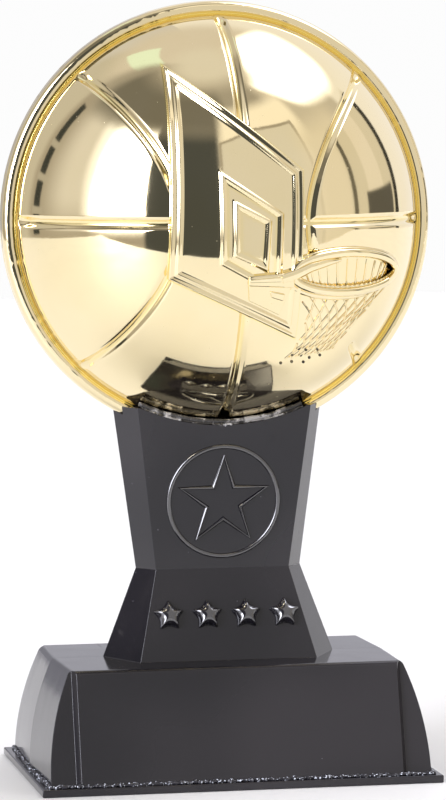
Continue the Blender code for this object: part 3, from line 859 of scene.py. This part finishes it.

# %% [markdown]
# Along its low edge the net has dark spots, painted where its openings mirror the black base:
# small balls, half sunk in the dome.

# %% Dark spots painted on the net
spots = []
for across, rise in DARK_REFLECTION_SPOTS:
    bpy.ops.mesh.primitive_ico_sphere_add(subdivisions=3, radius=SPOT_RADIUS * MM,
                                          location=dome_point(across, rise, 0.02) * MM)
    spots.append(new_piece("spot"))
net_spots = joined(spots, "net_spots_front")
soften(net_spots, 80.0)

# %% [markdown]
# ## Stars on the riser
# A thin torus makes the ring, a round bar the outline of a star inside it, and four small puffed
# stars stand in a row below. All of them lie on the sloping front panel, half sunk into it.

# %% Ring and star outline
RING_Z, RING_RADIUS, BEAD = 56.8, 11.5, 0.50
STAR_RADIUS, STAR_WAIST = 9.6, 0.385


def panel_front(z):
    return -riser_at(z)[3]


def panel_tilt(z):
    """How far the panel leans, forwards at the top as positive."""
    low, high = riser_part(z)
    return math.atan((high[3] - low[3]) / (high[0] - low[0]))


def star_corners(radius, waist):
    return [(reach * math.cos(turn), reach * math.sin(turn))
            for reach, turn in zip([radius, radius * waist] * 5, angles(90, 450, 10))]


bpy.ops.mesh.primitive_torus_add(
    major_segments=144, minor_segments=16, major_radius=RING_RADIUS * MM, minor_radius=BEAD * MM,
    location=(0.0, panel_front(RING_Z) * MM, RING_Z * MM),
    rotation=(math.radians(90.0) + panel_tilt(RING_Z), 0.0, 0.0))
star_ring = new_piece("star_ring")
soften(star_ring, 60.0)
slope_share = math.cos(panel_tilt(RING_Z))
outline = [(x, panel_front(RING_Z + y * slope_share), RING_Z + y * slope_share)
           for x, y in star_corners(STAR_RADIUS, STAR_WAIST)]
star_outline = bar("star_outline", outline, BEAD * 1.1, True, smoothness=4)
soften(star_outline, 35.0)
stars = [star_ring, star_outline]

# %% [markdown]
# A small star is raised through four levels and puffed up with a Subdivision Surface modifier.
# Four copies are tilted to the panel and set in a row.

# %% Small stars
SMALL_Z, SMALL_PITCH, SMALL_RADIUS, SMALL_SHIFT, SMALL_SINK = 33.45, 8.1, 4.4, 0.2, 0.1
# Each level of a small star: its height, its size and the share of its inner corners
SMALL_LEVELS = [(-0.8, 1.0, 0.35), (0.6, 1.0, 0.35), (1.7, 0.64, 0.42), (2.15, 0.22, 0.7)]
small = raised("small_star", [
    [(x, y, height) for x, y in star_corners(SMALL_RADIUS * size, waist)]
    for height, size, waist in SMALL_LEVELS])
modify(small, "SUBSURF", levels=3, render_levels=3)
outward(small)
tilt = panel_tilt(SMALL_Z)
for i in range(4):
    only(small)
    bpy.ops.object.duplicate()
    copy = bpy.context.object
    x = (i - 1.5) * SMALL_PITCH + SMALL_SHIFT
    copy.rotation_euler = (math.radians(90.0) + tilt, 0.0, 0.0)
    copy.location = Vector((x, panel_front(SMALL_Z) + SMALL_SINK, SMALL_Z)) * MM
    stars.append(new_piece("star_copy"))
    soften(copy, 80.0)
bpy.data.objects.remove(small)
stars_front = joined(stars, "stars_front")

# %% [markdown]
# ## Bottom plate, adhesive and flash
# The plate is a plain slab with a small round on its edges.

# %% Bottom plate
PLATE, PLATE_ROUND = (83.0, 56.0, 1.6), 0.3
bpy.ops.mesh.primitive_cube_add(size=MM, location=(0.0, 0.0, PLATE[2] / 2 * MM))
plate = new_piece("plate")
edit(plate, "SELECT")
bpy.ops.transform.resize(value=PLATE, center_override=(0.0, 0.0, PLATE[2] / 2 * MM))
done()
modify(plate, "BEVEL", limit_method="NONE", width=PLATE_ROUND * MM, segments=3)
soften(plate, 40.0)
modify(plate, "WEIGHTED_NORMAL", keep_sharp=True, weight=100)

# %% [markdown]
# Melted plastic has squeezed out all round the plate's joint as a rough black line. It is a bar
# that wanders and swells from point to point, by a seeded random draw.

# %% Flash round the foot
draw = random.Random(7)
FLASH_Z, FLASH_RADIUS, FLASH_SPACING, FLASH_WANDER = 1.85, 0.42, 0.42, 0.16
FLASH_SWELL = (0.55, 1.45)


def wandering(path, spacing, wander, swell_low, swell_high):
    """Points along a bent path, each pushed a little aside, with a swelling for each."""
    points, swells = [], []
    for a, b in zip(path, path[1:]):
        a, b = Vector(a), Vector(b)
        count = max(int((b - a).length / spacing), 1)
        for i in range(count):
            place = a.lerp(b, i / count)
            points.append(place + Vector([draw.uniform(-wander, wander) for _ in range(3)]))
            swells.append(draw.uniform(swell_low, swell_high))
    return points, swells


end_x, corner_x, corner_y = BASE_FOOT_WIDTH + 0.1, BASE_FOOT_WIDTH - 0.5, BASE_FOOT_FRONT
foot_path = [(x, y, FLASH_Z) for x, y in (
    (-end_x, 0.0), (-corner_x, -corner_y), (corner_x, -corner_y), (end_x, 0.0),
    (corner_x, corner_y), (-corner_x, corner_y), (-end_x, 0.0))]
flash_points, flash_swell = wandering(foot_path, FLASH_SPACING, FLASH_WANDER, *FLASH_SWELL)
flash = bar("flash", flash_points, FLASH_RADIUS, smoothness=1, radii=flash_swell)

# %% [markdown]
# Clear glue lies where the dome meets the cradle: one broad line with thin strings in front.

# %% Glue in the cradle
GLUE_STEPS, GLUE_WANDER = 30, 0.08
# Each line: its front, distance from the ball's middle, first and last angle from straight down,
# radius, spacing of its points, and how thin it gets
GLUE_LINES = [(-6.7, 41.6, -25.0, 25.0, 0.55, 1.8, 0.9),
              (-7.45, 42.2, -23.0, -12.0, 0.28, 0.6, 0.25),
              (-7.45, 42.2, 12.0, 23.5, 0.20, 0.6, 0.25),
              (-7.5, 42.25, -3.0, 2.5, 0.26, 0.6, 0.4),
              (-7.2, 42.1, -24.0, 24.0, 0.16, 0.6, 0.4)]
lines = []
for front, reach, start, end, size, spacing, thin in GLUE_LINES:
    path = [(reach * math.sin(turn), front, BALL_Z - reach * math.cos(turn))
            for turn in angles(start, end, GLUE_STEPS)]
    points, swells = wandering(path, spacing, GLUE_WANDER, thin, 2.0 - thin)
    lines.append(bar("glue", points, size, smoothness=2, radii=swells))
glue_front = joined(lines, "cradle_glue_line_front")

# %% [markdown]
# The rear is a copy of the front, turned by half a turn. The plate and the flash go all round.

# %% Copies on the rear
gold_pieces = [(ball, "ball"), (bracket, "bracket"), (hoop, "hoop"), (net, "net"),
               (net_spots, "net_spots")]
rear_gold = [half_turn(piece, name + "_rear") for piece, name in gold_pieces]
rear_body = half_turn(base, "body_rear")
stars_rear = half_turn(stars_front, "stars_rear")
glue_rear = half_turn(glue_front, "cradle_glue_line_rear")

# %% [markdown]
# ## Finishes
# Each finish is one material on Object coordinates, in metres, so a noise of scale 100 has
# features of about a centimetre. What changes over the surface only feeds the colour, the
# roughness and a Bump node.

# %% One kind of node tree for every finish
class Finish(Nodes):
    """The nodes of a new material."""

    def __init__(self, name):
        self.material = bpy.data.materials.new(name)
        self.material.use_nodes = True
        super().__init__(self.material.node_tree)
        self.place = self.add("ShaderNodeTexCoord", output=3)

    def noise(self, scale, detail=3.0, stretch=None):
        """A soft noise between about 0.3 and 0.7, drawn out along an axis if asked."""
        place = self.place
        if stretch:
            place = self.add("ShaderNodeMapping", {}, {"Vector": place, "Scale": stretch})
        return self.add("ShaderNodeTexNoise", {},
                        {"Vector": place, "Scale": scale, "Detail": detail})

    def specks(self, scale, size):
        """1 in small round specks, one to a cell, and 0 elsewhere."""
        gap = self.add("ShaderNodeTexVoronoi", {}, {"Vector": self.place, "Scale": scale})
        return self.smooth_step(gap, size, size * 0.5)

    def bump(self, height, depth):
        """A Bump node: a height from 0 to 1, and how many millimetres that is."""
        return self.add("ShaderNodeBump", {},
                        {"Height": height, "Strength": 1.0, "Distance": depth * MM})

    def shade(self, inputs):
        """Ends the tree with a Principled shader, and returns the material."""
        self.finish("ShaderNodeOutputMaterial", self.add("ShaderNodeBsdfPrincipled", {}, inputs))
        return self.material


# %% [markdown]
# Gold: the metal film is all mirror. The plastic under it was never quite flat, so a very shallow
# wide wave makes the reflections wander. In the inside corners a deeper yellow is painted in as
# shade, and the gold there is a little dull; a few dust specks lie on the rest.

# %% Lacquered gold
# The third colour is the deeper yellow that is painted into inside corners as shade
PALE_GOLD, PALER_GOLD, CORNER_SHADE_YELLOW = (0.93, 0.80, 0.49), (0.95, 0.825, 0.53), (1.0, 0.80, 0.25)
nodes = Finish("lacquered_gold")
# How much painted corner shade the ball holds at each point
corner_shade = nodes.add("ShaderNodeAttribute", {"attribute_name": "painted_corner_shade"}, output=2)
cloud = nodes.smooth_step(nodes.noise(45.0), 0.35, 0.65)
dust = nodes.specks(420.0, 0.07)
colour = nodes.blend(cloud, PALE_GOLD, PALER_GOLD)
colour = nodes.blend(corner_shade, colour, CORNER_SHADE_YELLOW)
rough = 0.035 + 0.03 * cloud + 0.10 * corner_shade + 0.25 * dust
wave = nodes.noise(95.0, 1.0) + 0.06 * nodes.noise(900.0, 2.0)
gold = nodes.shade({"Base Color": colour, "Metallic": 1.0, "Roughness": rough,
                    "Normal": nodes.bump(wave, 0.035)})

# %% [markdown]
# Black: gloss polystyrene straight from the mould. The mould's polishing left a faint wave and
# faint upright streaks in the gloss, handling left hair scratches, and dust shows as grey specks.
# Soft paler clouds are painted into the black as a dim sheen.

# %% Gloss black plastic
# The second colour is the paler black of the painted sheen
BLACK, SHEEN_BLACK, DUSTY = (0.0075, 0.007, 0.0095), (0.021, 0.019, 0.022), (0.11, 0.105, 0.12)


def black_plastic(name, ior):
    nodes = Finish(name)
    streaks = nodes.noise(260.0, 3.0, (1.0, 1.0, 0.12))
    cloud = nodes.smooth_step(nodes.noise(70.0), 0.35, 0.7)
    dust = nodes.specks(230.0, 0.032)
    hair = nodes.smooth_step(nodes.noise(500.0, 2.0, (1.0, 0.06, 0.5)), 0.70, 0.78)
    # Painted sheen: soft paler clouds a few centimetres across
    painted_sheen = nodes.smooth_step(nodes.noise(24.0, 1.0), 0.38, 0.68)
    colour = nodes.blend(dust, nodes.blend(painted_sheen, BLACK, SHEEN_BLACK), DUSTY)
    rough = 0.07 + 0.05 * cloud + 0.06 * streaks + 0.12 * hair + 0.3 * dust
    wave = nodes.noise(130.0, 1.0) + 0.10 * nodes.noise(1400.0, 2.0) - 0.08 * hair
    return nodes.shade({"Base Color": colour, "Roughness": rough, "IOR": ior,
                        "Normal": nodes.bump(wave, 0.03)})


black = black_plastic("gloss_black_plastic", 1.5)
relief = black_plastic("rubbed_bright_relief", 2.2)    # handling has polished what stands out

# %% [markdown]
# Squeezed-out plastic and glue: the black flash is rough where it tore and shiny where it melted,
# with pale specks painted in as glints. The clear glue has pale cloudy stretches, partly cloudy
# set glue and partly painted highlight, and lets some light through. Dark spots are painted on the
# net where its openings mirror the black base.

# %% Flash and glue
# The second colour is for the painted glints
TORN, PAINTED_GLINT = (0.022, 0.021, 0.026), (0.72, 0.76, 0.84)
nodes = Finish("melted_black_flash")
tear = nodes.noise(900.0, 3.0)
# Painted glints: small pale specks in the flash
glint_specks = nodes.smooth_step(nodes.noise(2300.0, 1.0), 0.60, 0.67)
colour = nodes.blend(glint_specks, TORN, PAINTED_GLINT)
flash_finish = nodes.shade({"Base Color": colour, "Roughness": 0.08 + 0.45 * tear,
                            "Normal": nodes.bump(tear, 0.12)})

# The second colour is pale: partly cloudy set glue, partly a painted highlight
GLUE, CLOUDY_GLUE_AND_HIGHLIGHT = (0.10, 0.095, 0.09), (0.80, 0.78, 0.76)
nodes = Finish("set_clear_glue")
cloud = nodes.smooth_step(nodes.noise(400.0, 3.0), 0.46, 0.58)
colour = nodes.blend(cloud, GLUE, CLOUDY_GLUE_AND_HIGHLIGHT)
glue_finish = nodes.shade({"Base Color": colour, "Roughness": 0.06 + 0.25 * cloud, "IOR": 1.47,
                           "Transmission Weight": 0.5, "Normal": nodes.bump(cloud, 0.05)})

# Painted reflection: the dark spots on the net, dark with a brownish cloud
SPOT_DARK, SPOT_DARK_EDGE = (0.030, 0.026, 0.020), (0.10, 0.075, 0.03)
nodes = Finish("painted_dark_reflection_spot")
cloud = nodes.smooth_step(nodes.noise(1500.0, 2.0), 0.40, 0.62)
dark_spot_finish = nodes.shade({"Base Color": nodes.blend(cloud, SPOT_DARK, SPOT_DARK_EDGE),
                    "Roughness": 0.35 + 0.2 * cloud, "Normal": nodes.bump(cloud, 0.03)})

# %% [markdown]
# The ballast is a gritty cast block. The table is matt, with a very soft cloud in its colour.

# %% Cast weight and table
STONE, STONE_DARK = (0.36, 0.34, 0.31), (0.24, 0.22, 0.20)
nodes = Finish("cast_mineral")
grit = nodes.noise(700.0, 6.0)
colour = nodes.blend(nodes.smooth_step(grit, 0.35, 0.65), STONE_DARK, STONE)
stone = nodes.shade({"Base Color": colour, "Roughness": 0.75 + 0.2 * grit,
                     "Normal": nodes.bump(grit, 0.2)})

TABLE, TABLE_SHADE = (0.81, 0.805, 0.775), (0.79, 0.785, 0.755)
nodes = Finish("pale_table")
cloud = nodes.smooth_step(nodes.noise(6.0), 0.35, 0.65)
colour = nodes.blend(cloud, TABLE, TABLE_SHADE)
table_finish = nodes.shade({"Base Color": colour, "Roughness": 0.5 + 0.1 * cloud})
floor.data.materials.append(table_finish)

# %% [markdown]
# ## Putting it on the frame
# Every new piece is given its finish and rides on the one body of the frame, and the CAD parts
# that it stands for are hidden. The ballast stays as it is in CAD, inside the base, and only gets
# its finish.

# %% Ride, hide the CAD parts, and give the finish
def dress(piece, finish, parts=()):
    """Gives a piece its finish, and says where it belongs on the frame."""
    piece.data.materials.clear()
    piece.data.materials.append(finish)
    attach(piece, "root")
    for part in parts:
        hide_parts(part)


for (piece, name), rear in zip(gold_pieces, rear_gold):
    finish, is_ball = dark_spot_finish if name == "net_spots" else gold, name == "ball"
    dress(piece, finish, ["ball_front_shell"] if is_ball else [])
    dress(rear, finish, ["ball_rear_shell"] if is_ball else [])
dress(base, black, ["body_front_shell"])
dress(rear_body, black, ["body_rear_shell"])
dress(stars_front, relief)
dress(stars_rear, relief)
dress(plate, black, ["bottom_plate"])
dress(flash, flash_finish, ["base_glue_bead"])
dress(glue_front, glue_finish, ["cradle_glue_front"])
dress(glue_rear, glue_finish, ["cradle_glue_rear"])
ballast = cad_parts["ballast_block"]
ballast.data.materials.clear()
ballast.data.materials.append(stone)
